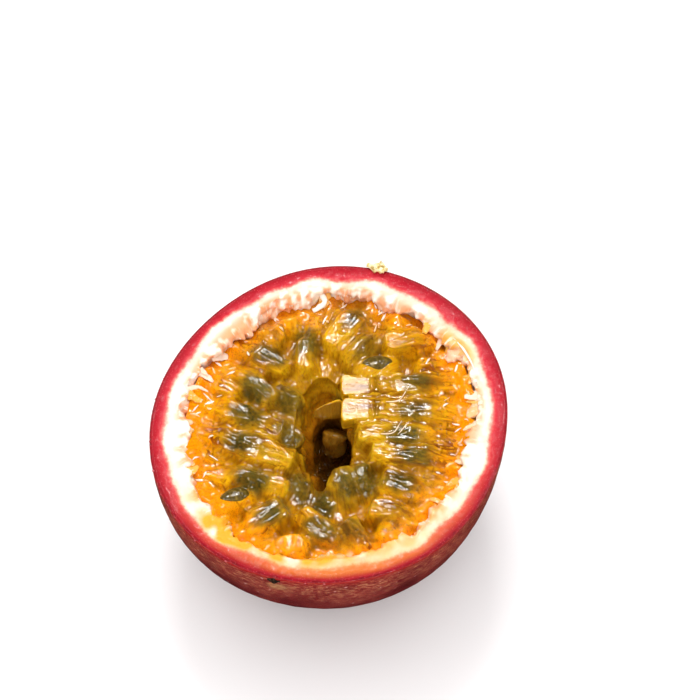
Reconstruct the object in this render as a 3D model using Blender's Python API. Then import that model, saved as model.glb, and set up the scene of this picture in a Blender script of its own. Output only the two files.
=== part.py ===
"""Half a passion fruit, cut across its middle, standing on a small flat spot on its dome with the cut face up.

Run it with: blender --background --python part.py

The frame has its origin in the middle of the flat spot, with +Z up, normal to the cut face, and +Y towards
the far side of the fruit. Lengths are in millimetres up to make_object, which scales them to metres.

The fruit is a rind, a bed of packed pulp with a hollow down its middle, and the juice sacs and bare seeds
that show at the cut. Each sac hangs on a short stalk at the rind's inner wall and reaches for the hollow.
It swells until it is half-way to its nearest neighbour, as the sacs of a real fruit do.
"""

import math
from collections import namedtuple

import bmesh
import bpy
import numpy as np
from mathutils import Vector

MM = 0.001  # one millimetre in metres

# The fruit's size
CUT_RADIUS = 30.0  # mean radius of the cut edge
HEIGHT = 34.6  # from the flat spot to the cut face
DOME_DEPTH = 35.2  # from the cut face to the pole that the flat spot cuts off
FULLNESS = 2.2  # power of the oval that the dome and the bowl are in section, where 2 is an ellipse
CUT_OVALNESS = 0.034  # share by which the cut edge is longer one way and shorter the other
CUT_LONG_AXIS = math.radians(42)
CUT_LEAN = 0.012  # share by which the cut edge bulges to one side
CUT_LEAN_TOWARDS = math.radians(-50)
EDGE_ROUNDING = 0.5  # radius of the outer edge of the cut

# The rind
RIND_AT_SIDES = 5.9  # wall thickness at the cut, towards +X and -X
RIND_AT_ENDS = 4.8  # wall thickness at the cut, towards +Y and -Y
RIND_AT_BOTTOM = 5.0

# The pulp bed, below the sacs that show
BED_DEPTH = 8.0  # from the cut face down to the bed's rim
BED_DIP = 1.0  # how much lower the bed lies round the hollow
HOLLOW_CENTRE = (-0.8, -1.0)
HOLLOW_HALF_WIDTH = 5.0
HOLLOW_HALF_LENGTH = 10.6
HOLLOW_DEPTH = 19.5  # from the cut face down to the hollow's floor
HOLLOW_FLOOR_SHARE = 0.62  # size of the hollow's floor beside its mouth

# Clearances
GAP = 0.35  # between pieces that touch in the real fruit
BED_GAP = 0.5  # between the bed and the rind, whose facets differ
BULGE_OVER_CUT = 0.4  # how far a sac may stand out of the cut face

# Fineness
RIND_SIDES = 48
BED_SIDES = 36
SAC_SIDES = 10
SAC_RINGS = 9

Sac = namedtuple("Sac", "root_angle reach root_depth tip_x tip_y tip_depth belly")
# root_angle is in degrees round the wall from +X, and reach is how near the root is to the wall, from 0 to 1.
# Depths are below the cut face, and belly is the radius that the sac would have with no neighbours.
SACS = {
    "left": [
        Sac(119, 1.00, 4.4, -8.2, 14.8, 2.6, 2.5),
        Sac(133, 1.00, 3.4, -6.6, 10.4, 2.2, 3.0),
        Sac(146, 1.00, 3.4, -9.3, 4.2, 2.0, 3.0),
        Sac(156, 1.00, 3.8, -14.5, 6.2, 2.6, 2.4),
        Sac(167, 1.00, 3.2, -7.5, -1.1, 1.9, 3.2),
        Sac(174, 1.00, 4.8, -18.0, 0.6, 4.2, 2.0),
        Sac(181, 1.00, 3.2, -5.8, -6.8, 1.9, 3.2),
        Sac(190, 1.00, 4.6, -17.4, -6.2, 4.0, 2.2),
        Sac(199, 1.00, 3.4, -6.6, -12.0, 2.2, 3.1),
        Sac(137, 0.53, 3.4, -5.6, 3.4, 4.8, 2.3),
        Sac(167, 0.44, 4.2, -5.4, -3.2, 5.2, 2.2),
    ],
    "near": [
        Sac(215, 1.00, 5.2, -10.6, -13.0, 3.8, 2.2),
        Sac(235, 1.00, 3.2, -7.5, -15.0, 2.0, 3.0),
        Sac(256, 1.00, 2.6, -6.0, -20.2, 1.6, 2.0),
        Sac(252, 0.69, 2.3, 0.6, -21.6, 1.7, 2.6),
        Sac(286, 1.00, 2.8, 2.0, -18.2, 2.2, 2.5),
        Sac(297, 1.00, 2.8, 7.6, -19.4, 2.4, 2.2),
        Sac(309, 1.00, 3.0, 6.4, -15.6, 2.2, 2.7),
        Sac(324, 1.00, 3.4, 8.2, -10.4, 2.2, 3.0),
        Sac(283, 0.61, 3.2, 2.0, -7.8, 2.0, 2.1),
        Sac(296, 0.61, 3.2, 5.2, -7.3, 1.8, 2.1),
        Sac(255, 0.60, 4.2, -6.0, -7.4, 5.4, 2.1),
        Sac(267, 0.64, 4.8, -1.6, -11.4, 5.4, 2.0),
    ],
    "right": [
        Sac(332, 1.00, 4.0, 13.5, -9.3, 3.8, 2.0),
        Sac(341, 1.00, 3.2, 6.8, -5.4, 2.1, 3.0),
        Sac(350, 1.00, 3.2, 4.6, -1.7, 2.0, 3.0),
        Sac(357, 1.00, 4.6, 16.5, -0.9, 4.2, 2.0),
        Sac(4, 1.00, 3.2, 2.1, 2.5, 1.9, 3.2),
        Sac(11, 1.00, 4.6, 16.6, 4.4, 4.2, 2.0),
        Sac(18, 1.00, 3.2, 2.1, 7.2, 1.8, 3.2),
        Sac(27, 1.00, 3.8, 14.4, 10.0, 3.2, 2.3),
        Sac(41, 1.00, 3.4, 9.4, 14.8, 2.2, 2.9),
    ],
    "far": [
        Sac(54, 1.00, 4.4, 9.6, 18.6, 3.4, 2.3),
        Sac(61, 0.80, 3.6, 2.6, 11.6, 2.4, 2.3),
        Sac(74, 1.00, 4.8, 0.4, 13.8, 1.9, 2.9),
        Sac(86, 1.00, 5.6, 0.4, 18.2, 4.6, 2.1),
        Sac(95, 1.00, 4.8, -4.7, 9.4, 2.1, 2.9),
        Sac(107, 1.00, 5.0, -5.9, 17.0, 3.4, 2.3),
    ],
}
ROOT_INSET = 0.9  # from the wall to a sac's root
STALK_SHARE = 0.42  # a sac's radius at its root, beside its belly
BELLY_FROM = 0.42  # the share of a sac's length at which it is as thick as its belly
TIP_ROUNDING = 0.16  # the share of a sac's length that rounds off to the tip
ROOT_ROUNDING = 0.05

Seed = namedtuple("Seed", "x y depth heading")
BARE_SEEDS = [
    Seed(8.2, 11.0, 1.5, 15),
    Seed(-16.0, -13.6, 1.6, 25),
]
SEED_LENGTH = 5.6
SEED_HALF_WIDTH = 1.8
SEED_FLATNESS = 0.65  # half thickness over half width
SEED_END = 0.22  # radians of the oval left off at each end, which is a small flat

# Colours are linear, with roughness
RIND_LOOK = ("rind_flesh", (0.38, 0.02, 0.045), 0.45)
BED_LOOK = ("pulp_bed", (0.48, 0.17, 0.012), 0.25)
SAC_LOOK = ("juice_sac", (0.72, 0.30, 0.012), 0.15)
SEED_LOOK = ("seed_coat", (0.035, 0.045, 0.025), 0.3)


def cut_edge(angle):
    """Radius of the outer edge of the cut face at an angle from +X."""
    oval = CUT_OVALNESS * np.cos(2 * (angle - CUT_LONG_AXIS))
    lean = CUT_LEAN * np.cos(angle - CUT_LEAN_TOWARDS)
    return CUT_RADIUS * (1 + oval + lean)


def wall_edge(angle):
    """Radius of the rind's inner wall at the cut face."""
    sides = np.cos(angle) ** 2
    return cut_edge(angle) - RIND_AT_ENDS - (RIND_AT_SIDES - RIND_AT_ENDS) * sides


def section_at(turn, edge, depth):
    """Radius and depth on a dome or bowl, at a turn from 0 at its edge to pi/2 at its pole."""
    return edge * math.cos(turn) ** (2 / FULLNESS), depth * math.sin(turn) ** (2 / FULLNESS)


def section_turn(share):
    """The turn at which a dome or bowl reaches this share of its depth."""
    return math.asin(share ** (FULLNESS / 2))


def wall_radius(angle, depth):
    """Radius of the rind's inner wall at a depth below the cut face."""
    share = np.clip(depth / (HEIGHT - RIND_AT_BOTTOM), 0, 1)
    return wall_edge(angle) * (1 - share**FULLNESS) ** (1 / FULLNESS)


def material(name, colour, roughness):
    made = bpy.data.materials.new(name)
    made.use_nodes = True
    shader = made.node_tree.nodes["Principled BSDF"]
    shader.inputs["Base Color"].default_value = (*colour, 1)
    shader.inputs["Roughness"].default_value = roughness
    shader.inputs["Metallic"].default_value = 0
    return made


def make_object(name, rings, look):
    """A closed solid through rings of points in millimetres, with a flat cap on the first ring and on the last."""
    mesh = bmesh.new()
    loops = [[mesh.verts.new([float(c) * MM for c in point]) for point in ring] for ring in rings]
    for lower, upper in zip(loops, loops[1:]):
        count = len(lower)
        for i in range(count):
            j = (i + 1) % count
            mesh.faces.new((lower[i], lower[j], upper[j], upper[i]))
    mesh.faces.new(loops[0][::-1])
    mesh.faces.new(loops[-1])
    bmesh.ops.recalc_face_normals(mesh, faces=mesh.faces)
    data = bpy.data.meshes.new(name)
    mesh.to_mesh(data)
    mesh.free()
    data.shade_smooth()
    data.set_sharp_from_angle(angle=math.radians(50))
    data.materials.append(look)
    made = bpy.data.objects.new(name, data)
    bpy.context.scene.collection.objects.link(made)
    return made


def ring_at(angles, radii, depth):
    """A level ring round the fruit's axis."""
    radii = np.broadcast_to(radii, angles.shape)
    z = np.full(angles.shape, HEIGHT - depth)
    return np.stack([radii * np.cos(angles), radii * np.sin(angles), z], axis=1)


def turns(count):
    return np.arange(count) * 2 * math.pi / count


def make_rind(look):
    angles = turns(RIND_SIDES)
    rings = []
    for turn in np.linspace(section_turn(HEIGHT / DOME_DEPTH), math.radians(6), 12):
        rings.append(ring_at(angles, *section_at(turn, cut_edge(angles), DOME_DEPTH)))
    for turn in np.radians([10, 45, 80]):
        inward = EDGE_ROUNDING * (1 - math.cos(turn))
        down = EDGE_ROUNDING * (1 - math.sin(turn))
        rings.append(ring_at(angles, cut_edge(angles) - inward, down))
    bowl = HEIGHT - RIND_AT_BOTTOM
    rings.append(ring_at(angles, wall_edge(angles) + EDGE_ROUNDING, 0.0))
    for turn in np.radians([1, 8, 16, 24, 32, 41, 50, 60, 70, 80]):
        rings.append(ring_at(angles, *section_at(turn, wall_edge(angles), bowl)))
    return make_object("rind", rings, look)


def hollow_ring(angles, share, depth):
    """An oval ring of the hollow in the bed, at this share of its mouth's size."""
    x = HOLLOW_CENTRE[0] + share * HOLLOW_HALF_WIDTH * np.cos(angles)
    y = HOLLOW_CENTRE[1] + share * HOLLOW_HALF_LENGTH * np.sin(angles)
    return np.stack([x, y, np.full(angles.shape, HEIGHT - depth)], axis=1)


def make_bed(look):
    angles = turns(BED_SIDES)
    bowl = HEIGHT - RIND_AT_BOTTOM - BED_GAP
    rings = []
    for turn in np.linspace(math.radians(78), section_turn(BED_DEPTH / bowl), 7):
        rings.append(ring_at(angles, *section_at(turn, wall_edge(angles) - BED_GAP, bowl)))
    mouth_depth = BED_DEPTH + BED_DIP
    rings.append(hollow_ring(angles, 1.0, mouth_depth))
    for step in (0.35, 0.7, 1.0):
        share = 1 - (1 - HOLLOW_FLOOR_SHARE) * step**2
        rings.append(hollow_ring(angles, share, mouth_depth + (HOLLOW_DEPTH - mouth_depth) * step))
    return make_object("pulp_bed", rings, look)


def sac_axis(sac):
    """A sac's root and tip."""
    angle = math.radians(sac.root_angle)
    radius = sac.reach * (wall_radius(angle, sac.root_depth) - ROOT_INSET)
    root = (radius * math.cos(angle), radius * math.sin(angle), HEIGHT - sac.root_depth)
    tip = (sac.tip_x, sac.tip_y, HEIGHT - sac.tip_depth)
    return np.array(root), np.array(tip)


def seed_axis(seed):
    heading = math.radians(seed.heading)
    half = SEED_LENGTH / 2 * np.array([math.cos(heading), math.sin(heading), 0])
    middle = np.array([seed.x, seed.y, HEIGHT - seed.depth])
    return middle - half, middle + half


def distance_to_axis(point, axis):
    start, end = axis
    along = end - start
    share = np.clip(np.dot(point - start, along) / np.dot(along, along), 0, 1)
    return np.linalg.norm(point - start - share * along)


def room_at(point, neighbours):
    """How thick a piece can be at a point of its axis: half-way to its neighbours, and clear of rind, bed and cut."""
    depth = HEIGHT - point[2]
    radius = math.hypot(point[0], point[1])
    angle = math.atan2(point[1], point[0])
    room = min((distance_to_axis(point, other) / 2 - GAP / 2 for other in neighbours), default=99)
    to_wall = 0.95 * (wall_radius(angle, depth + 1) - radius) - GAP
    to_bed = BED_DEPTH - depth - GAP
    to_cut = depth + BULGE_OVER_CUT
    return max(0.25, min(room, to_wall, to_bed, to_cut))


def sac_shape(share):
    """A sac's radius beside its belly, from its stalk to its round tip."""
    swell = np.clip(share / BELLY_FROM, 0, 1)
    body = STALK_SHARE + (1 - STALK_SHARE) * swell * swell * (3 - 2 * swell)
    tip = np.clip((share - 1 + TIP_ROUNDING) / TIP_ROUNDING, 0, 0.93)
    root = np.clip((ROOT_ROUNDING - share) / ROOT_ROUNDING, 0, 0.6)
    return body * math.sqrt(1 - tip**2) * math.sqrt(1 - root**2)


def place(piece, axis):
    """Stand a piece that was modelled along +Z from the origin on its own axis, with its +Y side upwards."""
    start, end = axis
    piece.location = Vector(start) * MM
    piece.rotation_mode = "QUATERNION"
    piece.rotation_quaternion = Vector(end - start).to_track_quat("Z", "Y")


def turned_rings(length, shares, radii, flatness=1.0):
    """Rings of SAC_SIDES points round +Z at these shares of a length, flattened in Y."""
    angles = turns(SAC_SIDES)
    rings = []
    for share, radius in zip(shares, radii):
        z = np.full(angles.shape, share * length)
        rings.append(np.stack([radius * np.cos(angles), flatness * radius * np.sin(angles), z], axis=1))
    return rings


def smoothed(radii):
    """The radii evened out along the axis, and nowhere larger than they were."""
    even = np.convolve(np.pad(radii, 1, mode="edge"), (0.25, 0.5, 0.25), mode="valid")
    return np.minimum(radii, even)


def make_along_axis(name, axis, shares, shape, neighbours, look, flatness=1.0):
    """A piece along an axis, as thick as its shape says where its neighbours leave it the room."""
    start, end = axis
    room = [room_at(start + share * (end - start), neighbours) for share in shares]
    radii = smoothed(np.minimum([shape(share) for share in shares], room))
    piece = make_object(name, turned_rings(np.linalg.norm(end - start), shares, radii, flatness), look)
    place(piece, axis)


def make_sac(name, sac, axis, neighbours, look):
    shares = (1 - np.cos(np.linspace(0, math.pi, SAC_RINGS))) / 2
    make_along_axis(name, axis, shares, lambda share: sac.belly * sac_shape(share), neighbours, look)


def seed_shape(share):
    """A seed's half width along its length, an oval."""
    return SEED_HALF_WIDTH * math.sqrt(1 - (2 * share - 1) ** 2)


def make_seed(name, axis, neighbours, look):
    shares = (1 - np.cos(np.linspace(SEED_END, math.pi - SEED_END, SAC_RINGS))) / 2
    make_along_axis(name, axis, shares, seed_shape, neighbours, look, SEED_FLATNESS)


def main():
    for old in list(bpy.data.objects):
        bpy.data.objects.remove(old, do_unlink=True)
    make_rind(material(*RIND_LOOK))
    make_bed(material(*BED_LOOK))
    sac_look = material(*SAC_LOOK)
    seed_look = material(*SEED_LOOK)
    named = {}
    for bank, sacs in SACS.items():
        for number, sac in enumerate(sacs, 1):
            named[f"sac_{bank}_{number:02d}"] = sac
    axes = {name: sac_axis(sac) for name, sac in named.items()}
    for number, seed in enumerate(BARE_SEEDS, 1):
        axes[f"bare_seed_{number}"] = seed_axis(seed)
    for name, axis in axes.items():
        neighbours = [other for key, other in axes.items() if key != name]
        if name in named:
            make_sac(name, named[name], axis, neighbours, sac_look)
        else:
            make_seed(name, axis, neighbours, seed_look)


main()
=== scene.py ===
"""Half a purple passion fruit, cut across and resting on its dome: the rind, the wet pulp and the seeds.

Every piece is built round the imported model, in the same frame: metres, +Z up, the cut face level and on top.
Lengths below are in millimetres, and MM turns them to metres where a mesh, a light or the camera is made.
"""

import math
from functools import partial

import bpy
import numpy as np
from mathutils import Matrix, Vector, noise


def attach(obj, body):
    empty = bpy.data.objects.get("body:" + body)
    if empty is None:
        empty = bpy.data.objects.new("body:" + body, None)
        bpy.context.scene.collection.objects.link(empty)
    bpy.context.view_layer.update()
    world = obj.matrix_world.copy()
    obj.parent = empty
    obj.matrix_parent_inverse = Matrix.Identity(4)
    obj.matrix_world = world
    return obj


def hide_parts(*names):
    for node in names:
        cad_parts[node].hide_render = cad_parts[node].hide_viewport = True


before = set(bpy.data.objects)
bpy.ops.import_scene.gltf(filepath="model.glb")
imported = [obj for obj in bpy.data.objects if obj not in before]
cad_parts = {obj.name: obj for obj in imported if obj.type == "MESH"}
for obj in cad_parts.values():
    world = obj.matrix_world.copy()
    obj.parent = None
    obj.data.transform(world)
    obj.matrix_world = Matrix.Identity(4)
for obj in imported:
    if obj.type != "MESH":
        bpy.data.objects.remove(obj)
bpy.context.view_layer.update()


# --------------------------------------------------------------------------------------------------
# The rind. A thin leathery skin, maroon with pale pores, grown in one with 5 mm of spongy pith, crimson
# under the skin and white further in. A knife cut it across, so the cut is flat but for the give of the
# pith, and the pith's inner edge is ragged where the stalks of the juice sacs tore.

MM = 0.001
RIND_COLUMNS = 560
DOME_ROWS = 84
EDGE_ROWS = 4
EDGE_ROUNDING = 0.4
CUT_ROWS = 26
WALL_ROWS = 30
SAG = 0.35  # how far the soft pith sinks below the skin's edge
LIP_FROM = 0.82  # share of the way across the cut where the pith's torn inner edge begins to fall
LIP_DROP = 1.1
WALL_SEEN = 9.0  # how far down the wall shows above the pulp
EDGE_OR_WALL = 27.0  # a radius between the cut's outer edge and its wall, which sorts the CAD's points
FULLNESS = 2.2  # power of the oval that the dome and the bowl are in section, where 2 is an ellipse
BOWL_ROWS = 10
OUT_OF_SIGHT = 20.0  # stands for the distance across the pith where the pulp hides the bowl
HIDDEN_FROM = 15.0
OUTLINE_WAVES = ((3, 0.25, -46), (4, 0.13, 26), (5, 0.08, 19))  # waves round, height, angle of a crest


def cad_points(name):
    """A CAD node's points in millimetres."""
    return np.array([v.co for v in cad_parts[name].data.vertices]) / MM


def all_round(count):
    """The angles of this many places round a circle."""
    return np.arange(count) * 2 * math.pi / count


def at_heading(heading, radius, height):
    """Points at these headings in radians, radii and heights."""
    x, y = radius * np.cos(heading), radius * np.sin(heading)
    return np.stack(np.broadcast_arrays(x, y, height), axis=-1)


def side_and_up(along):
    """Unit vectors square to a direction: a level one, and one square to them both."""
    side = np.cross(along, (0, 0, 1.0))
    side /= np.maximum(np.linalg.norm(side, axis=-1, keepdims=True), 1e-6)
    return side, np.cross(side, along)


def fitted_outline(points, waves=3):
    """The radius of a ring of points as a smooth function of the angle from +X."""
    def terms(angle):
        angle = np.asarray(angle, float)
        turns = [np.ones_like(angle)]
        for wave in range(1, waves + 1):
            turns += [np.cos(wave * angle), np.sin(wave * angle)]
        return np.stack(turns, axis=-1)

    radius = np.hypot(points[:, 0], points[:, 1])
    factors = np.linalg.lstsq(terms(np.arctan2(points[:, 1], points[:, 0])), radius, rcond=None)[0]
    return lambda angle: terms(angle) @ factors


def grid_normals(grid):
    """Unit normals of a grid of points whose columns close round."""
    along = np.gradient(grid, axis=0)
    around = np.roll(grid, -1, axis=1) - np.roll(grid, 1, axis=1)
    normal = np.cross(around, along)
    return normal / np.maximum(np.linalg.norm(normal, axis=2, keepdims=True), 1e-9)


def rough(points, size, seed=0.0):
    """Smooth noise from about -0.5 to 0.5 at each point, with lumps of this size in millimetres."""
    flat = (np.asarray(points).reshape(-1, 3) / size + seed).tolist()
    return np.array([noise.noise(p) for p in flat]).reshape(points.shape[:-1])


def lumpy(points, *layers):
    """Layers of noise added up, each given by its height and lump size in millimetres and a seed."""
    return sum(height * rough(points, size, seed) for height, size, seed in layers)


def ease(value, low, high):
    """0 below low, 1 above high, and a smooth rise between."""
    share = np.clip((value - low) / (high - low), 0, 1)
    return share * share * (3 - 2 * share)


def piece_from_grids(name, grids, material, marks=None):
    """A piece of closed bodies, each through a grid of points in millimetres, its two end rows capped."""
    points, faces, first = [], [], 0
    for grid in grids:
        rows, columns = grid.shape[:2]
        index = first + np.arange(rows * columns).reshape(rows, columns)
        after = np.roll(index, -1, axis=1)
        quads = np.stack([index[:-1], after[:-1], after[1:], index[1:]], axis=-1).reshape(-1, 4)
        faces += quads.tolist() + [index[0, ::-1].tolist(), index[-1].tolist()]
        points.append(grid.reshape(-1, 3))
        first += rows * columns
    mesh = bpy.data.meshes.new(name)
    mesh.from_pydata((np.concatenate(points) * MM).tolist(), [], faces)
    for mark, values in (marks or {}).items():
        values = np.concatenate([np.asarray(v, "f").reshape(len(p), -1) for v, p in zip(values, points)])
        kind, key = ("FLOAT_VECTOR", "vector") if values.shape[1] == 3 else ("FLOAT", "value")
        mesh.attributes.new(mark, kind, "POINT").data.foreach_set(key, values.ravel())
    mesh.shade_smooth()
    mesh.materials.append(material)
    piece = bpy.data.objects.new(name, mesh)
    bpy.context.scene.collection.objects.link(piece)
    return piece


def as_part(piece, slot, *nodes):
    """Fix a piece to the fruit and hide the CAD solids that it stands for; the slot is not used."""
    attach(piece, "root")
    if nodes:
        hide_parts(*nodes)


class Sac:
    """A juice sac's axis from root to tip and its greatest radius, read from its round CAD solid."""

    def __init__(self, name):
        points = np.unique(cad_points(name).round(3), axis=0)
        middle = points.mean(axis=0)
        spread, directions = np.linalg.eigh(np.cov((points - middle).T))
        odd_one = 2 if spread[2] - spread[1] > spread[1] - spread[0] else 0
        axis = directions[:, odd_one]
        places = (points - middle) @ axis
        ends = middle + places.min() * axis, middle + places.max() * axis
        self.root, self.tip = sorted(ends, key=lambda end: -np.hypot(end[0], end[1]))
        self.length = np.linalg.norm(self.tip - self.root)
        self.along = (self.tip - self.root) / self.length
        self.widest = self.distance(points).max()

    def distance(self, points):
        """How far points are from the sac's axis."""
        share = np.clip((points - self.root) @ self.along, 0, self.length)
        return np.linalg.norm(points - self.root - share[..., None] * self.along, axis=-1)


sacs = {name: Sac(name) for name in sorted(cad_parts) if name.startswith("sac_")}

# The CAD's points near the cut give its two outlines, and the lowest ones the depths of dome and bowl.
rind_points = cad_points("rind")
cut_height = rind_points[:, 2].max()
rind_radius = np.hypot(rind_points[:, 0], rind_points[:, 1])
near_cut = cut_height - rind_points[:, 2]
cad_edge = fitted_outline(rind_points[(near_cut < 2) & (rind_radius > EDGE_OR_WALL)])
cad_wall = fitted_outline(rind_points[(near_cut < 2) & (near_cut > 0.2) & (rind_radius < EDGE_OR_WALL)])
spot_radius = rind_radius[rind_points[:, 2] < 0.1].mean()
spot_share = spot_radius / cad_edge(np.linspace(0, 6, 50)).mean()
dome_depth = cut_height / (1 - spot_share ** FULLNESS) ** (1 / FULLNESS)
bowl_depth = cut_height - rind_points[(rind_radius < 12) & (rind_points[:, 2] > 3), 2].min()


def cut_edge(angle):
    """Radius of the cut's outer edge: the CAD's, with the slow waves of a grown fruit on it."""
    waves = [height * np.cos(count * (angle - math.radians(crest)))
             for count, height, crest in OUTLINE_WAVES]
    return cad_edge(angle) + sum(waves)


angle = all_round(RIND_COLUMNS)
edge, wall = cut_edge(angle), cad_wall(angle)
rows, across = [], []
for turn in np.linspace(math.pi / 2, 0, DOME_ROWS):
    radius = np.maximum(edge * max(math.cos(turn), 0) ** (2 / FULLNESS), 0.02)
    depth = dome_depth * math.sin(turn) ** (2 / FULLNESS)
    rows.append(at_heading(angle, radius, cut_height - min(depth, cut_height)))
    across.append(np.full(RIND_COLUMNS, -1 - depth))  # below -1 on the skin, where no juice or pith shows
for turn in np.linspace(0, math.pi / 2, EDGE_ROWS + 1)[1:]:
    inward = EDGE_ROUNDING * (1 - math.cos(turn))
    rows[-1][:, 2] = np.minimum(rows[-1][:, 2], cut_height - EDGE_ROUNDING * 0.5)
    rows.append(at_heading(angle, edge - inward, cut_height - EDGE_ROUNDING * (1 - math.sin(turn))))
    across.append(np.full(RIND_COLUMNS, inward * 0.8))
for share in np.linspace(0, 1, CUT_ROWS + 1)[1:]:
    outer = edge - EDGE_ROUNDING
    radius = outer + (wall - outer) * share
    sag = SAG * math.sin(math.pi * min(share * 1.15, 1)) ** 0.7
    lip = LIP_DROP * max(0, (share - LIP_FROM) / (1 - LIP_FROM)) ** 2
    rows.append(at_heading(angle, radius, cut_height - (sag + lip)))
    across.append(edge - radius)
for share in np.linspace(0, 1, WALL_ROWS + 1)[1:]:
    depth = LIP_DROP + (WALL_SEEN - LIP_DROP) * share
    radius = wall * (1 - (depth / bowl_depth) ** FULLNESS) ** (1 / FULLNESS)
    rows.append(at_heading(angle, radius, cut_height - depth))
    across.append(edge - wall + depth)
hidden_turn = math.asin((WALL_SEEN / bowl_depth) ** (FULLNESS / 2))
for turn in np.linspace(hidden_turn, math.pi / 2, BOWL_ROWS + 1)[1:]:
    radius = np.maximum(wall * max(math.cos(turn), 0) ** (2 / FULLNESS), 0.02)
    rows.append(at_heading(angle, radius, cut_height - bowl_depth * math.sin(turn) ** (2 / FULLNESS)))
    across.append(np.full(RIND_COLUMNS, OUT_OF_SIGHT))
grid, across = np.array(rows), np.array(across)
normals = grid_normals(grid)

on_dome = (across < -1).astype(float)
seen = across < HIDDEN_FROM
on_wall = ease(across, 3.2, 5.5) * seen
torn = ease(across, 3.4, 5.0) * seen
heading = np.arctan2(grid[..., 1], grid[..., 0])
fibre = at_heading(heading, 25, 0.25 * across)
lift = on_dome * lumpy(grid, (0.1, 12.0, 0.0), (0.06, 1.8, 3.0)) * ease(grid[..., 2], 0.0, 2.0)
lift += ease(across, 0.3, 1.6) * seen * lumpy(grid, (0.12, 0.9, 7.0), (0.16, 3.0, 9.0))
lift += torn * (lumpy(fibre, (0.35, 0.7, 1.0), (0.5, 2.2, 4.0)) + lumpy(grid, (0.3, 0.6, 2.0)))
grid = grid + lift[..., None] * normals

# Between two stalks the torn pith stands into the hollow as a tooth and runs down the wall as a ridge.
near_sac = np.min([sac.distance(grid) - 0.5 * sac.widest for sac in sacs.values()], axis=0)
tooth = ease(near_sac, 0.4, 2.4)
inward = on_wall * (0.5 * tooth + lumpy(fibre, (0.4, 0.9, 5.0), (0.8, 2.4, 2.0))
                    + lumpy(grid, (1.8, 6.0, 2.0), (0.5, 1.2, 8.0)))
outward = grid[..., :2] / np.maximum(np.linalg.norm(grid[..., :2], axis=-1, keepdims=True), 1e-6)
grid[..., :2] -= inward[..., None] * outward


def towards(*places):
    """Strengths added up at each point of the rind, each given with its heading and spread in degrees."""
    total = 0
    for strength, degrees, spread in places:
        off = np.abs((heading - math.radians(degrees) + math.pi) % (2 * math.pi) - math.pi)
        total = total + strength * np.exp(-((off / math.radians(spread)) ** 2))
    return total


BAND_DRAWN = 2.75  # the crimson band's width that the pith's colour ramp is laid out for
SCAR_RADIUS = 1.6
SCAR_DIMPLE = 0.8
TAN_PATCH_DEPTH = 3.6
TAN_PATCH_HALF = 1.8
band = 2.6 + towards((0.2, 35, 30), (-0.8, 140, 40), (-0.4, 330, 25), (-0.2, 228, 28))
band = band + lumpy(fibre, (0.9, 5.0, 3.0))
tone = np.where(across > 0, across * BAND_DRAWN / band, across)
juice = 0.08 + towards((1.4, 236, 18), (0.4, 268, 22), (0.2, 306, 18), (0.45, 32, 16))
blotches = np.clip(1 + lumpy(fibre, (0.8, 1.6, 4.0)) + lumpy(grid, (1.6, 2.4, 4.0)), 0, 1.6)
on_near_band = towards((0.4, 275, 42)) * ease(tone, 0.4, 2.0) * (across < 6)
juice = np.clip(juice * ease(tone, 2.2, 4.4) * blotches + on_near_band, 0, 1)
blotches = lumpy(fibre, (2.2, 1.5, 12.0)) + lumpy(grid, (1.6, 0.9, 3.0))
blush = np.clip(0.42 + towards((0.4, 105, 40), (0.2, 40, 20)) + blotches, 0, 1)
blush = blush * ease(across + towards((1.1, 122, 38)), 3.0, 5.2)
scar = np.exp(-((np.linalg.norm(grid[..., :2], axis=-1) / SCAR_RADIUS) ** 2)) * (grid[..., 2] < 3) * on_dome
grid[..., 2] += SCAR_DIMPLE * scar
from_patch = (cut_height - TAN_PATCH_DEPTH - grid[..., 2]) / TAN_PATCH_HALF
tan_patch = towards((0.9, 253, 5)) * np.exp(-(from_patch ** 2)) * on_dome


def srgb(code):
    """An sRGB hex colour as linear RGBA."""
    parts = [int(code[i:i + 2], 16) / 255 for i in (0, 2, 4)]
    return [c / 12.92 if c <= 0.04045 else ((c + 0.055) / 1.055) ** 2.4 for c in parts] + [1.0]


def add(tree, kind, links=None, stops=(), give=None, **settings):
    """Add a shader node and give the output of that name, or else its first. Settings that name an input, or
    its number after a _, set its value, and the others set the node's own. The stops are a colour ramp's."""
    made = tree.nodes.new("ShaderNode" + kind)
    for key, value in settings.items():
        if hasattr(made, key):
            setattr(made, key, value)
        else:
            made.inputs[int(key[1:]) if key[1:].isdigit() else key.replace("_", " ")].default_value = value
    for key, source in (links or {}).items():
        tree.links.new(source, made.inputs[key])
    for _ in stops[2:]:  # a new ramp has two
        made.color_ramp.elements.new(0.5)
    for stop, (position, code) in enumerate(stops):
        made.color_ramp.elements[stop].position = position
        made.color_ramp.elements[stop].color = srgb(code)
    return made.outputs[give] if give else next(output for output in made.outputs if output.enabled)


def new_material(name):
    """A material, its Principled shader, a call that adds a node to it, and places in metres."""
    made = bpy.data.materials.new(name)
    made.use_nodes = True
    add_here = partial(add, made.node_tree)
    return made, made.node_tree.nodes["Principled BSDF"], add_here, add_here("TexCoord", give="Object")


def per(size):
    """A texture's scale for a pattern of this size in millimetres."""
    return 1 / (size * MM)


def set_inputs(shader, links=None, **values):
    """Link and set a shader's own sockets, named with _ for a space where they are set."""
    for key, source in (links or {}).items():
        shader.id_data.links.new(source, shader.inputs[key])
    for key, value in values.items():
        shader.inputs[key.replace("_", " ")].default_value = value


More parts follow.
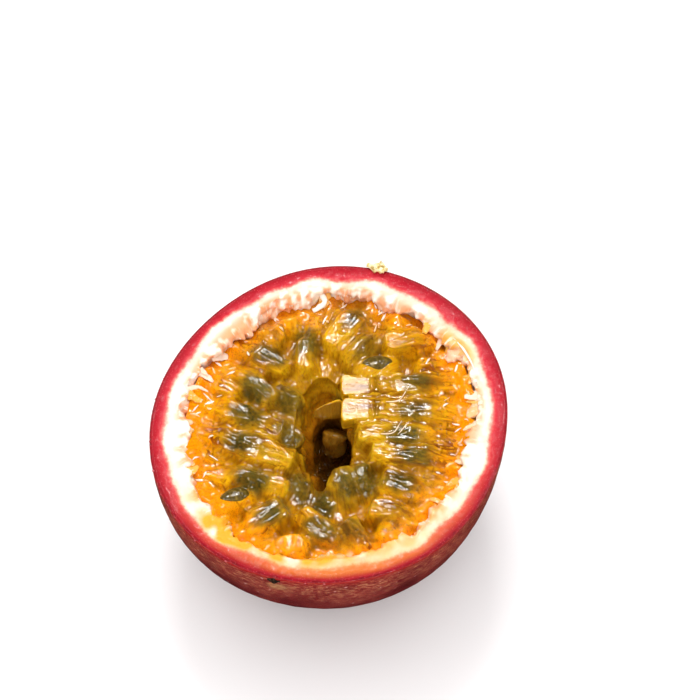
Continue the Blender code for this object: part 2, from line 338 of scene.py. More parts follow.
# Passion fruit skin is waxy and close to matt, with pores about 1.4 mm apart, drawn a little larger than
# real ones so that they show. Cut pith is a wet sponge: light sinks in, so it looks soft, and pinker in
# its folds.
rind_look, shader, add_node, place = new_material("passion_fruit_skin_and_cut_pith")
mark = {name: add_node("Attribute", attribute_name=name, give="Fac")
        for name in ("across", "tone", "juice", "blush", "tan_patch", "scar")}
fibre_place = add_node("Attribute", attribute_name="fibre", give="Vector")
patches = add_node("TexNoise", {"Vector": place}, Scale=per(9), Detail=4, Roughness=0.6)
skin = add_node("ValToRGB", {"Fac": patches}, (
    (0.3, "4C0C14"), (0.48, "6A181E"), (0.62, "84302C"), (0.75, "9C4A40")))
flat = add_node("Mapping", {"Vector": place}, Scale=(1, 1, 3))
streaks = add_node("TexNoise", {"Vector": flat}, Scale=per(1.1), Detail=5, Roughness=0.75)
streaked = add_node("ValToRGB", {"Fac": streaks}, (
    (0.38, "6A1014"), (0.5, "96302A"), (0.62, "D08A62")))
shallow = add_node("Math", {0: patches, 2: mark["across"]}, operation="MULTIPLY_ADD", _1=16.0)
near_edge = add_node("MapRange", {0: shallow}, From_Min=-3.0, From_Max=6.5, To_Min=0.12)
skin = add_node("Mix", {0: near_edge, 6: skin, 7: streaked}, data_type="RGBA")
at_rim = add_node("MapRange", {0: mark["across"]}, From_Min=-3.2, From_Max=-1.4, To_Max=0.8)
pores = add_node("TexVoronoi", {"Vector": place}, Scale=per(1.4)).node.outputs
pore_size = add_node("MapRange", {0: pores["Color"]}, From_Min=0.2, To_Min=0.0, To_Max=0.22)
pore_gap = add_node("Math", {0: pore_size, 1: pores["Distance"]}, operation="SUBTRACT")
pore = add_node("MapRange", {0: pore_gap}, From_Min=-0.02, From_Max=0.05)
tan = add_node("Math", {0: mark["tan_patch"], 1: streaks}, operation="MULTIPLY", use_clamp=True)
tan = add_node("MapRange", {0: tan}, From_Min=0.15, From_Max=0.6)
for cover, code in ((at_rim, "A01418"), (pore, "C98A84"), (tan, "B98A5C"), (mark["scar"], "6B4A32")):
    skin = add_node("Mix", {0: cover, 6: skin}, data_type="RGBA", _7=srgb(code))

wander = add_node("TexNoise", {"Vector": place}, Scale=per(1.1), Detail=4, Roughness=0.65)
wander = add_node("Math", {0: wander}, operation="MULTIPLY_ADD", _1=1.3, _2=-0.65)
inwards = add_node("Math", {0: mark["tone"], 1: wander}, operation="ADD")
inwards = add_node("Math", {0: inwards}, operation="DIVIDE", _1=10.0)
pith = add_node("ValToRGB", {"Fac": inwards}, (
    (0.0, "7A0C16"), (0.03, "960E1C"), (0.08, "A40C1E"), (0.15, "B21426"), (0.22, "C42A36"),
    (0.26, "DE6A60"), (0.31, "F8CDB8"), (0.38, "FFF1E4"), (0.6, "FFF6EA"), (1.0, "F8DCC0")))
grain = add_node("TexVoronoi", {"Vector": place}, Scale=per(0.4))
grain = add_node("MapRange", {0: grain}, From_Min=0.34, From_Max=0.0, To_Max=0.5)
in_band = add_node("MapRange", {0: mark["tone"]}, From_Min=2.9, From_Max=1.4)
grain = add_node("Math", {0: grain, 1: in_band}, operation="MULTIPLY")
strands = add_node("TexNoise", {"Vector": fibre_place}, Scale=1 / 0.5, Detail=3)
strands = add_node("MapRange", {0: strands}, From_Min=0.56, From_Max=0.66)
is_torn = add_node("MapRange", {0: mark["across"]}, From_Min=4.0, From_Max=5.5)
strands = add_node("Math", {0: strands, 1: is_torn}, operation="MULTIPLY")
for cover, code in (
        (grain, "E0585E"), (mark["blush"], "EFA67A"), (mark["juice"], "E8A42C"), (strands, "FFF4E6")):
    pith = add_node("Mix", {0: cover, 6: pith}, data_type="RGBA", _7=srgb(code))
is_cut = add_node("Math", {0: mark["across"]}, operation="GREATER_THAN", _1=-0.5)
colour = add_node("Mix", {0: is_cut, 6: skin, 7: pith}, data_type="RGBA")
sponge = add_node("TexNoise", {"Vector": place}, Scale=per(0.5), Detail=5, Roughness=0.7)
bump = add_node("Bump", {"Height": sponge}, Strength=0.6, Distance=0.25 * MM)
set_inputs(shader, {"Base Color": colour, "Normal": bump}, Roughness=0.38, IOR=1.45, Specular_IOR_Level=0.16,
           Subsurface_Weight=0.25, Subsurface_Radius=(1.0, 0.5, 0.35), Subsurface_Scale=0.9 * MM,
           Coat_Weight=0.08, Coat_Roughness=0.1)

rind_marks = {"across": across, "tone": tone, "juice": juice, "blush": blush, "tan_patch": tan_patch,
              "scar": scar, "fibre": fibre}
rind = piece_from_grids("cut_rind", [grid], rind_look, {key: [values] for key, values in rind_marks.items()})
as_part(rind, "rind", "rind")


# --------------------------------------------------------------------------------------------------
# The juice sacs. Each is a bag of gel with a seed in it, on a short stalk from the rind's wall.
# Neighbours press on one another, so a sac is round only where it is free. The gel is orange at the stalk
# and yellow to olive at the tip, and the seed shows through it as a soft dark shape.

SAC_COLUMNS = 64
SAC_STEP = 0.27
SEED_HALF = (3.4, 2.3, 1.6)
SEED_SHOWS_UP = 0.3  # how fast a seed's shade fades in the gel over it, beside the gel at its sides
GRAIN_AT_WALL = 1.7  # how many times finer the gel is wrinkled in the torn stalks at the wall
PRESS_GAP = 0.04
FACET_SIZE = 2.3  # of the flat faces that the wet skin of a sac pulls into
FACET_TILT = 0.12
FACET_DEPTH = 0.6  # how far a face may cut into the round of the sac, and stand out of it
SQUARE_TIP = 4.0  # a sac squarer than this has a smooth tip, with one flat face on top
SMOOTH_TIP = (5.0, 6.5)  # how far from a square tip's end its wrinkles begin, and where they are whole
TIP_FACE_FROM = (4.6, 5.2)  # how far from the end the flat face is whole, and where it begins
TIP_FACE_CUT = 0.5  # how far down into the tip the face lies
TIP_FACES = {"sac_right_05": (-0.03, -0.05, 1.0), "sac_right_07": (-0.05, 0.05, 1.0)}  # which way each faces
BELLY = 1.45  # how much wider a pressed sac is than its round CAD solid
ROOT_BURIED = 0.6  # how far a stalk runs on into the wall
ROUND_END = 1.1  # length of a sac's round end over its belly's radius
END_CROWDING = 0.35  # how much of the spacing of a sac's rows crowds them at its two ends
SEED_BULGE = 0.24  # how much wider a sac is round its seed
MEET_POWER = 5.0  # how sharply a sac's free round goes over into the faces that its neighbours press
HALVINGS = 14  # steps that find where such a face lies
TOP_CLEARANCE = 0.2
STALKS_TO = 4.5  # how far from the wall the torn stalks reach
RIPE_AT = 22.0  # how far from the wall the gel has its tip's colour
SHADE_FROM, SHADE_TO = 3.5, 18.0  # depths below the cut between which the gel is painted darker, as shade in the hollow
# How a sac looks: its seed's place along it from 0 to 1, how strongly that shows and how square its tip is
PLAIN_SAC = (0.5, 0.0, 2.9)
SAC_LOOKS = dict.fromkeys(sacs, PLAIN_SAC) | {
    "sac_left_01": (0.55, 0.3, 2.9), "sac_left_02": (0.62, 1.0, 2.9), "sac_left_03": (0.72, 1.0, 3.2),
    "sac_left_05": (0.58, 1.0, 3.2), "sac_left_07": (0.5, 1.0, 3.2), "sac_left_09": (0.62, 1.0, 3.2),
    "sac_left_10": (0.55, 0.9, 2.9), "sac_left_11": (0.6, 0.9, 2.9), "sac_near_02": (0.66, 1.0, 2.9),
    "sac_near_04": (0.34, 0.9, 2.6), "sac_near_05": (0.7, 0.7, 2.9), "sac_near_07": (0.6, 0.45, 2.9),
    "sac_near_08": (0.66, 1.0, 3.2), "sac_near_09": (0.5, 0.95, 2.9), "sac_near_10": (0.5, 0.95, 2.9),
    "sac_near_11": (0.4, 0.9, 2.9), "sac_near_12": (0.3, 1.0, 2.9), "sac_right_01": (0.5, 0.2, 2.9),
    "sac_right_02": (0.52, 1.0, 3.4), "sac_right_03": (0.56, 1.0, 3.4), "sac_right_05": (0.43, 0.9, 7.0),
    "sac_right_07": (0.4, 0.9, 7.0), "sac_right_09": (0.5, 0.2, 2.9), "sac_far_02": (0.5, 0.7, 2.9),
    "sac_far_03": (0.4, 1.0, 2.9), "sac_far_04": (0.5, 0.2, 2.9), "sac_far_05": (0.6, 1.0, 2.9),
}
seeds = {name: Sac(name) for name in sorted(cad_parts) if name.startswith("bare_seed")}


def seed_frame(name):
    """Where a sac's seed lies: its middle, and its axes along, across and up."""
    sac = sacs[name]
    side, up = side_and_up(sac.along)
    return sac.root + SAC_LOOKS[name][0] * sac.length * sac.along - 0.1 * up, sac.along, side, up


def gel_marks(points):
    """How dark a seed makes the gel at each point, how far it is from the wall, and how much shade is painted
    on it for its depth.
    """
    plain = np.zeros(points.shape[:-1])
    dark = plain
    blur = lumpy(points, (0.4, 1.3, 3.0))
    for name, (_, shows, _) in SAC_LOOKS.items():
        if shows:
            middle, *axes = seed_frame(name)
            reach = np.stack([(points - middle) @ axis for axis in axes], axis=-1) / SEED_HALF
            reach[..., 2] *= SEED_SHOWS_UP
            cover = (np.linalg.norm(reach, axis=-1) - 1) * 1.6 + blur
            dark = np.maximum(dark, shows * (1 - ease(cover, -0.75, 0.75)))
    radius, heading = np.hypot(points[..., 0], points[..., 1]), np.arctan2(points[..., 1], points[..., 0])
    from_wall = cad_wall(heading) - radius
    spoke = at_heading(heading, 18, 0.4 * radius + 0.5 * points[..., 2])
    spoke = spoke + (points * GRAIN_AT_WALL - spoke) * (from_wall < STALKS_TO)[..., None]
    # Painted shade: the gel is painted darker the deeper it lies, and less so on the hollow's better lit left
    # wall.
    left_wall_lit = 0.62 + 0.38 * ease(points[..., 0], -3.0, -1.2)
    down = ease(cut_height - points[..., 2], SHADE_FROM, SHADE_TO) * left_wall_lit
    return {"grain": spoke, "seed": dark, "ripe": np.clip(from_wall / RIPE_AT, 0, 1), "down": down,
            "wrinkle_shade": plain + 0.5, "tip": plain, "crease_shade": plain}


facet_draw = np.random.default_rng(5)


def facet_rise(grid, ray):
    """How far each point moves along its ray to lie on flat faces, each tipped a little off the skin."""
    rows, columns = grid.shape[:2]
    length = np.linalg.norm(grid[-1].mean(axis=0) - grid[0].mean(axis=0))
    girth = np.linalg.norm(grid - np.roll(grid, 1, axis=1), axis=2).sum(axis=1).max()
    down, about = max(3, round(length / FACET_SIZE)), max(5, round(girth / FACET_SIZE))
    i, j = np.meshgrid(np.arange(down), np.arange(about), indexing="ij")
    stray = facet_draw.uniform(-0.35, 0.35, (2, down, about))
    row = ((i + 0.5 + stray[0]) / down * (rows - 1)).astype(int)
    column = ((j + 0.5 * (i % 2) + stray[1]) / about * columns).astype(int) % columns
    centre, normal = grid[row, column].reshape(-1, 3), -grid_normals(grid)[row, column].reshape(-1, 3)
    normal = normal + facet_draw.normal(0, FACET_TILT, normal.shape)
    normal /= np.linalg.norm(normal, axis=1, keepdims=True)
    slope = (normal @ ray.T)[:, None]
    gap = centre[:, None, None] - grid
    rise = np.einsum("nrcx,nx->nrc", gap, normal) / np.maximum(slope, 0.35)
    rise = rise + 9 * (slope < 0.35) + 0.35 * np.maximum(np.linalg.norm(gap, axis=3) - FACET_SIZE, 0) ** 2
    return np.clip(rise.min(axis=0), -FACET_DEPTH, 0.5 * FACET_DEPTH)


def sac_grid(name):
    """A sac's surface, pressed flat where it meets its neighbours, with marks for each point's colour, painted
    shade and painted glow.
    """
    sac = sacs[name]
    seed_share, _, square = SAC_LOOKS[name]
    _, _, side, up = seed_frame(name)
    belly = BELLY * sac.widest + 0.5
    rows = max(14, int((sac.length + 1) / SAC_STEP))
    turn = np.linspace(0, math.pi, rows)
    share = (1 - np.cos(turn)) / 2 * END_CROWDING + np.linspace(0, 1, rows) * (1 - END_CROWDING)
    place = -ROOT_BURIED + share * (sac.length + ROOT_BURIED)
    from_end = sac.length - place
    cap = ROUND_END * belly
    round_off = np.clip((place - sac.length + cap) / cap, 0, 0.9995)
    close = (1 - round_off ** square) ** (1 / square)
    stalk = 0.42 + 0.58 * ease(place, -0.5, 0.42 * sac.length)
    bulge = 0.86 + SEED_BULGE * np.exp(-(((place / sac.length - seed_share) / 0.22) ** 2))
    across_half = belly * close * stalk * bulge
    across_half[0] = 0.25
    middle = sac.root + place[:, None] * sac.along
    upward_half = np.minimum(across_half, cut_height - middle[:, 2] - TOP_CLEARANCE)
    around = all_round(SAC_COLUMNS)
    ray = np.cos(around)[:, None] * side + np.sin(around)[:, None] * up
    upright = np.where(np.sin(around) > 0, upward_half[:, None], across_half[:, None])
    full = (np.abs(np.cos(around) / across_half[:, None]) ** square
            + np.abs(np.sin(around) / upright) ** square) ** (-1 / square)
    others = [other for key, other in {**sacs, **seeds}.items() if key != name]
    others = [other for other in others if np.min(other.distance(middle)) < 3 * belly]

    def beyond(reach):
        """Past 0 where a point at this reach is nearer to another sac's axis than to its own."""
        points = middle[:, None] + reach[..., None] * ray
        own = sac.distance(points)
        worst = np.max([own - other.distance(points) for other in others], axis=0) if others else own * 0 - 9
        return worst + PRESS_GAP

    low, high = np.zeros((rows, SAC_COLUMNS)), full * 1.5
    for _ in range(HALVINGS):
        half = (low + high) / 2
        past = beyond(half) > 0
        low, high = np.where(past, low, half), np.where(past, half, high)
    limit = np.maximum(low, 0.12)
    reach = (full ** -MEET_POWER + limit ** -MEET_POWER) ** (-1 / MEET_POWER)
    for _ in range(3):
        soft = (np.roll(reach, 1, axis=1) + np.roll(reach, -1, axis=1) + 2 * reach) / 4
        soft[1:-1] = (soft[:-2] + soft[2:] + 2 * soft[1:-1]) / 4
        reach = np.minimum(soft, limit)
    grid = middle[:, None] + reach[..., None] * ray
    wrinkled = ease(from_end, *SMOOTH_TIP) if square > SQUARE_TIP else 1.0
    flattened = np.minimum(close / 0.7, 1) * (0.25 + 0.75 * wrinkled)
    reach = np.minimum(reach + facet_rise(grid, ray) * flattened[:, None], limit)
    grid = middle[:, None] + reach[..., None] * ray
    local = np.stack([grid @ side, grid @ up, grid @ sac.along * 0.22], axis=-1)
    ridge = np.clip(1 - 4.5 * np.abs(rough(local, 1.5, 5.0)), 0, 1)
    wrinkle = 0.16 * ridge - 0.06 + lumpy(local, (0.16, 0.9, 3.0), (0.3, 2.6, 8.0), (0.08, 0.45, 2.0))
    fade = np.minimum(ease(place, -0.5, 1.5), close) * (0.2 + 0.8 * wrinkled)
    grid = grid + (wrinkle * fade[:, None])[..., None] * ray
    if name in TIP_FACES:
        facing = np.array(TIP_FACES[name]) / np.linalg.norm(TIP_FACES[name])
        tip = grid[from_end < TIP_FACE_FROM[0]].reshape(-1, 3)
        top = tip[tip[:, 2].argmax()] - (0, 0, TIP_FACE_CUT)
        over = np.maximum((grid - top) @ facing, 0) * (1 - ease(from_end, *TIP_FACE_FROM))[:, None]
        grid = grid - over[..., None] * facing
    marks = gel_marks(grid)
    # Painted shade: the grooves between a sac's wrinkles are painted darker.
    marks["wrinkle_shade"] = np.clip(0.5 - 1.6 * wrinkle, 0, 1)
    marks["grain"] = np.stack([grid @ side, grid @ up, grid @ sac.along * 0.4], axis=-1)
    if square > SQUARE_TIP:
        marks["grain"] = marks["grain"] * ease(from_end, TIP_FACE_FROM[1], SMOOTH_TIP[1])[:, None, None]
    # Painted light: a sac's thin round end is painted brighter yellow, as if light shone through it.
    marks["tip"] = np.broadcast_to(ease(1 - close, 0.25, 0.8)[:, None], marks["seed"].shape)
    return grid, marks


# The gel is clear juice in a thin wet skin. Light goes in and comes out yellow, and the skin gives sharp
# small glints. Fine wrinkles along each sac, drawn at 0.45 mm, and flat faces 1.5 mm across break the
# glints up.
sac_look, shader, add_node, place = new_material("wet_passion_fruit_juice_sac")
mark = {name: add_node("Attribute", attribute_name=name, give="Fac")
        for name in ("seed", "ripe", "down", "wrinkle_shade", "tip", "crease_shade")}
mottle = add_node("TexNoise", {"Vector": place}, Scale=per(3.0), Detail=3)
blend = add_node("Math", {0: mottle, 2: mark["ripe"]}, operation="MULTIPLY_ADD", _1=0.5)
gel = add_node("ValToRGB", {"Fac": blend}, (
    (0.2, "FFA000"), (0.34, "FAA802"), (0.48, "E2A408"), (0.7, "D8A814"), (1.0, "CCA41E")))
# Painted light and shade: thin round ends are painted brighter yellow as if lit through, and creases a darker
# brown as shade.
for cover, code in ((mark["tip"], "F6C014"), (mark["crease_shade"], "8C5A04")):
    gel = add_node("Mix", {0: cover, 6: gel}, data_type="RGBA", _7=srgb(code))
# Painted shade: the gel turns a darker brown the deeper it lies in the hollow.
depth_shade = add_node("ValToRGB", {"Fac": mark["down"]}, (
    (0.35, "E8A024"), (0.6, "B07818"), (0.95, "5A380C")))
lower = add_node("MapRange", {0: mark["down"]}, From_Max=0.5)
gel = add_node("Mix", {0: lower, 6: gel, 7: depth_shade}, data_type="RGBA")
grain = add_node("Attribute", attribute_name="grain", give="Vector")
streaks = add_node("TexNoise", {"Vector": grain}, Scale=1 / 0.45, Detail=3, Roughness=0.6)
# Painted shade in the wrinkles' grooves, and fine pale streaks along the gel.
for source, strength, stops in (
        (mark["wrinkle_shade"], 1.0, ((0.1, "FFFFFF"), (0.5, "F6E8C8"), (0.9, "A07C3C"))),
        (streaks, 0.75, ((0.34, "C4A458"), (0.5, "FAF0D0"), (0.62, "FFFFFF")))):
    tint = add_node("ValToRGB", {"Fac": source}, stops)
    gel = add_node("Mix", {6: gel, 7: tint}, data_type="RGBA", blend_type="MULTIPLY", _0=strength)
pits = add_node("TexNoise", {"Vector": place}, Scale=per(0.6), Detail=2)
pits = add_node("Math", {0: pits}, operation="MULTIPLY_ADD", _1=0.7, _2=-0.35)
shown = add_node("Math", {0: mark["seed"], 1: pits, 2: mark["seed"]}, operation="MULTIPLY_ADD")
shown = add_node("Math", {0: shown}, operation="MULTIPLY", use_clamp=True, _1=0.94)
coat = add_node("ValToRGB", {"Fac": mottle}, ((0.35, "38300E"), (0.65, "5E501C")))
gel = add_node("Mix", {0: shown, 6: gel, 7: coat}, data_type="RGBA")
facets = add_node("TexVoronoi", {"Vector": grain}, Scale=1 / 1.5).node.outputs
tilt = add_node("VectorMath", {0: facets["Color"]}, operation="SUBTRACT", _1=(0.5, 0.5, 0.5))
offset = add_node("VectorMath", {0: grain, 1: facets["Position"]}, operation="SUBTRACT")
facet = add_node("VectorMath", {0: offset, 1: tilt}, operation="DOT_PRODUCT")
bump = add_node("Bump", {"Height": facet}, Strength=1.0, Distance=0.16 * MM)
fine = add_node("TexNoise", {"Vector": place}, Scale=per(0.7), Detail=3, Roughness=0.6)
bump = add_node("Bump", {"Height": fine, "Normal": bump}, Strength=0.3, Distance=0.2 * MM)
set_inputs(shader, {"Base Color": gel, "Normal": bump, "Coat Normal": bump}, Roughness=0.3, IOR=1.38,
           Specular_IOR_Level=0.12, Subsurface_Weight=0.5, Subsurface_Radius=(1.0, 0.6, 0.12),
           Subsurface_Scale=1.0 * MM, Coat_Weight=1.0, Coat_Roughness=0.015)

sac_surfaces = []
for name in sacs:
    grid, marks = sac_grid(name)
    sac_surfaces.append(grid.reshape(-1, 3))
    marks = {key: [values[:, ::-1]] for key, values in marks.items()}
    as_part(piece_from_grids("juice_" + name, [grid[:, ::-1]], sac_look, marks), "pulp", name)


# --------------------------------------------------------------------------------------------------
# The deeper pulp. Below the sacs that show, more of them lie packed round the hollow in their own juice. It
# fills the creases between the upper sacs and creeps up their sides, and its creases are painted darker as
# shade.
# Down the hollow the tips of the lower sacs show as wet lumps, painted darker with depth as shade, and one
# torn sac lies across its far end as a flat tongue.

BED_COLUMNS = 420
BED_UNDER_ROWS = 6  # of its underside, which lies in the rind and is never seen
BED_TOP_ROWS = 76
BED_SIDE_ROWS = 60
JUICE_LEVEL = 3.7  # how far below the cut the juice stands, away from any sac
JUICE_AT_WALL = 1.6  # how far below the cut it stands in the torn stalks at the wall, but for the far side
SEED_COLLAR = 2.5  # how far from a bare seed's axis the gel of its torn sac reaches
COLLAR_BELOW = 1.7  # how far the gel's top lies below that reach
COLLAR_TILT = 0.4  # how much higher the torn gel stands on a bare seed's near side
JUICE_BALL = 0.9  # radius of the hollow that juice forms between two sacs
RIM_IN_WALL = 0.5  # how far the juice's edge soaks into the torn wall
JUICE_UNDER = 0.06  # how far the juice stays under a sac's own surface
HOLLOW_DEPTH = 19.5
MOUTH_DEPTH = 9.0  # how far below the cut the hollow's mouth opens where no sac reaches into it
# The lower sacs' tips in the hollow: heading in degrees, share of the way out to its wall, depth and radius
DEEP_TIPS = ((60, 0.95, 8.0, 2.2), (80, 0.22, 14.5, 1.9), (20, 0.95, 10.5, 2.4), (-15, 0.9, 12.5, 2.6),
             (-50, 0.95, 9.5, 2.2), (300, 0.8, 15.5, 2.4), (215, 0.6, 17.0, 2.4))
TIP_LENGTH = 4.6
TIP_AHEAD = 1.1  # how much of that length stands out into the hollow
SMALL_TIP = 2.0  # a tip smaller than this stands free in the hollow, so it gets less painted shade and its seed shows
TIP_COLUMNS = 28
TONGUE_HALF = 1.45
TONGUE_ROWS = 26
HOLLOW_LEANS = 2.2  # how far towards +X the hollow's floor lies from under its mouth
POOL_FACE = 2.6  # size of the flat faces that the juice film stands in
POOL_TILT = 0.3
PITCH = 0.3  # of the level grid that the juice's height is worked out on
GRID_SIDE = 56  # how wide that grid is
bed_points = cad_points("pulp_bed")
bed_rim_height = bed_points[:, 2].max()
mouth_points = bed_points[np.abs(bed_points[:, 2] - bed_rim_height + 1.0) < 0.1]
mouth_middle = (mouth_points.max(axis=0) + mouth_points.min(axis=0)) / 2
mouth_half = (mouth_points.max(axis=0) - mouth_points.min(axis=0)) / 2
hollow_floor = cut_height - HOLLOW_DEPTH

side_count = int(GRID_SIDE / PITCH)
level = np.full((side_count, side_count), cut_height - JUICE_LEVEL)
ticks = (np.arange(side_count) - side_count / 2) * PITCH
all_sacs = np.concatenate(sac_surfaces)
cells = np.clip(np.round(all_sacs[:, :2] / PITCH + side_count / 2).astype(int), 0, side_count - 1)
np.maximum.at(level, (cells[:, 0], cells[:, 1]), all_sacs[:, 2])
level_heading = np.arctan2(ticks[None], ticks[:, None])
level_radius = np.hypot(ticks[:, None], ticks[None])
climb = ease(level_radius, cad_wall(level_heading) - 4.5, cad_wall(level_heading) - 0.6)
climb *= 1 - 0.85 * ease(ticks[None], 8.0, 17.0)
spokes = at_heading(level_heading, 19, 0.2 * level_radius)
cells_at = np.stack(np.broadcast_arrays(ticks[:, None], ticks[None], 4.0), axis=-1)
torn_stalks = lumpy(spokes, (1.4, 1.1, 0.0)) + lumpy(cells_at, (0.5, 1.6, 0.0))
pool = int(GRID_SIDE / POOL_FACE) ** 2
pool_middle = facet_draw.uniform(-GRID_SIDE / 2, GRID_SIDE / 2, (pool, 2))
pool_slope = facet_draw.normal(0, POOL_TILT, (pool, 2))
pool_level = np.full(level.shape, 9.0)
for face_middle, slope in zip(pool_middle, pool_slope):
    from_middle = cells_at[..., :2] - face_middle
    beyond_face = np.maximum(np.linalg.norm(from_middle, axis=-1) - 0.6 * POOL_FACE, 0)
    pool_level = np.minimum(pool_level, 0.7 + from_middle @ slope + 0.35 * beyond_face ** 2)
film = cut_height - JUICE_LEVEL + (JUICE_LEVEL - JUICE_AT_WALL + torn_stalks) * climb
level = np.maximum(level, film + np.clip(pool_level, -0.9, 0.9) + lumpy(cells_at, (0.2, 0.9, 6.0)))
for seed in seeds.values():
    start, end = np.array(seed.root[:2]), np.array(seed.tip[:2])
    from_start, span = cells_at[..., :2] - start, end - start
    share = np.clip((from_start @ span) / np.dot(span, span), 0.2, 0.8)
    away = np.linalg.norm(from_start - share[..., None] * span, axis=-1)
    collar = seed.root[2] + np.sqrt(np.maximum(SEED_COLLAR ** 2 - away ** 2, 0)) - COLLAR_BELOW
    collar += lumpy(cells_at, (0.4, 3.0, 4.0)) - COLLAR_TILT * (cells_at[..., 1] - (start[1] + end[1]) / 2)
    level = np.where(away < SEED_COLLAR, np.maximum(level, collar), level)
oval = np.linalg.norm((cells_at[..., :2] - mouth_middle[:2]) / mouth_half[:2], axis=-1)
level = np.where((oval < 0.97) & (level <= cut_height - JUICE_LEVEL), cut_height - MOUTH_DEPTH, level)
# A ball rolled over the sacs from above can't reach into their creases, and juice fills what it misses.
steps = range(-int(JUICE_BALL / PITCH), int(JUICE_BALL / PITCH) + 1)
ball = [(i, j, math.sqrt(JUICE_BALL ** 2 - (i * i + j * j) * PITCH ** 2))
        for i in steps for j in steps if math.hypot(i, j) * PITCH < JUICE_BALL]
dry = level.copy()
raised = np.max([np.roll(level, (i, j), (0, 1)) + height for i, j, height in ball], axis=0)
level = np.min([np.roll(raised, (i, j), (0, 1)) - height for i, j, height in ball], axis=0) - JUICE_UNDER


def on_level(level, x, y):
    """A value of the level grid, such as the juice's height, at places between the grid's ticks."""
    u, v = x / PITCH + side_count / 2, y / PITCH + side_count / 2
    i, j = np.floor(u).astype(int), np.floor(v).astype(int)
    u, v = u - i, v - j
    return ((level[i, j] * (1 - u) + level[i + 1, j] * u) * (1 - v)
            + (level[i, j + 1] * (1 - u) + level[i + 1, j + 1] * u) * v)


def at_depth(x, y, depth):
    """A place this far below the cut."""
    return x, y, cut_height - depth


def smooth_path(points, count):
    """A smooth path of this many points through a few."""
    points = np.asarray(points, float)
    places = np.linspace(0, len(points) - 1, count)
    path = np.stack([np.interp(places, np.arange(len(points)), points[:, i]) for i in range(3)], axis=-1)
    for _ in range(3):
        path[1:-1] = (path[:-2] + path[2:] + 2 * path[1:-1]) / 4
    return path


angle = all_round(BED_COLUMNS)
mouth = np.stack([mouth_middle[0] + mouth_half[0] * np.cos(angle),
                  mouth_middle[1] + mouth_half[1] * np.sin(angle)], axis=-1)
rim = np.stack([np.cos(angle), np.sin(angle)], axis=-1) * (cad_wall(angle) + RIM_IN_WALL)[:, None]
# Rings of points: the hidden underside, the top from the wall in to the mouth, and then down the hollow.
rows = []
for share in np.linspace(0, 1, BED_UNDER_ROWS):
    rows.append(np.column_stack([rim * (0.3 + 0.65 * share ** 0.5), np.full(BED_COLUMNS, 6 + 18 * share)]))
for share in np.linspace(0, 1, BED_TOP_ROWS + 1)[1:]:
    flat = rim + (mouth - rim) * share
    rows.append(np.column_stack([flat, on_level(level, flat[:, 0], flat[:, 1])]))
mouth_height = rows[-1][:, 2]
for share in np.linspace(0, 1, BED_SIDE_ROWS + 1)[1:]:
    fall = min(share / 0.9, 1)
    draw_in = 1 - 0.45 * share ** 1.4
    if share > 0.9:
        draw_in *= math.sqrt(max(0.0004, 1 - ((share - 0.9) / 0.1) ** 2))
    flat = mouth_middle[:2] + (mouth - mouth_middle[:2]) * draw_in + (HOLLOW_LEANS * share, 0)
    height = mouth_height + (hollow_floor - mouth_height) * fall
    rows.append(np.column_stack([flat, height]))
grid = np.array(rows)
normals = grid_normals(grid)
below = np.zeros(len(grid))
below[BED_UNDER_ROWS + BED_TOP_ROWS:] = ease(np.arange(BED_SIDE_ROWS), 0, 8)
below = below[:, None] * ease(grid[..., 2], hollow_floor, hollow_floor + 2)
grid = grid + (below * lumpy(grid, (1.3, 4.0, 1.0), (0.35, 1.3, 6.0)))[..., None] * normals
on_floor = ease(hollow_floor + 1.5 - grid[..., 2], 0.0, 1.5) * (np.arange(len(grid)) > 20)[:, None]
grid[..., 2] += on_floor * (1.2 + lumpy(grid, (3.0, 2.6, 2.0), (0.9, 1.0, 5.0)))
marks = gel_marks(grid)
filled = on_level(level - dry, grid[..., 0], grid[..., 1])
sunk = ease(cut_height - grid[..., 2], 2.0, JUICE_LEVEL)
# Painted shade: the creases that the juice fills, and juice lying lower, are painted darker.
marks["crease_shade"] = np.clip(ease(filled, 0.1, 1.0) * 0.7 + 0.5 * sunk, 0, 1) * (1 - below)
bodies, body_marks = [grid[:, ::-1]], {key: [values[:, ::-1]] for key, values in marks.items()}
around = all_round(TIP_COLUMNS)
for turn, draw_in, depth, radius in DEEP_TIPS:
    out = np.array([math.cos(math.radians(turn)), math.sin(math.radians(turn)), 0.0])
    tip = np.append(mouth_middle[:2] + mouth_half[:2] * out[:2] * draw_in, cut_height - depth)
    tip[0] += HOLLOW_LEANS * (depth - JUICE_LEVEL) / (cut_height - hollow_floor)
    out[:2] /= mouth_half[:2]
    out[2] = 0.1
    out /= np.linalg.norm(out)
    side, up = side_and_up(out)
    from_root = TIP_LENGTH * np.sin(np.linspace(0, math.pi / 2, 18))
    full = radius * (1 - (from_root / (TIP_LENGTH + 0.01)) ** 3) ** (1 / 3)
    middle = tip + (TIP_LENGTH - TIP_AHEAD - from_root)[:, None] * out
    ray = np.cos(around)[:, None] * side + np.sin(around)[:, None] * up
    lump = middle[:, None] + full[:, None, None] * ray
    lump = lump + lumpy(lump, (0.5 * radius, 2.4, turn / 50), (0.3, 0.9, 2.0))[..., None] * ray
    bodies.append(lump)
    lump_marks = gel_marks(lump)
    lump_marks["seed"] = 0.7 * ease(rough(lump, 3.2, 6.0) + (radius < SMALL_TIP), -0.05, 0.3)
    # Painted shade: a small free tip gets less of the painted depth shade.
    lump_marks["down"] = lump_marks["down"] * (0.8 if radius < SMALL_TIP else 1.0)
    for key, values in lump_marks.items():
        body_marks[key].append(values)
tongue_path = smooth_path([at_depth(3.4, 4.2, 4.3), at_depth(1.2, 4.1, 4.3), at_depth(-0.6, 3.9, 4.4),
                           at_depth(-2.5, 3.6, 4.7)], TONGUE_ROWS)
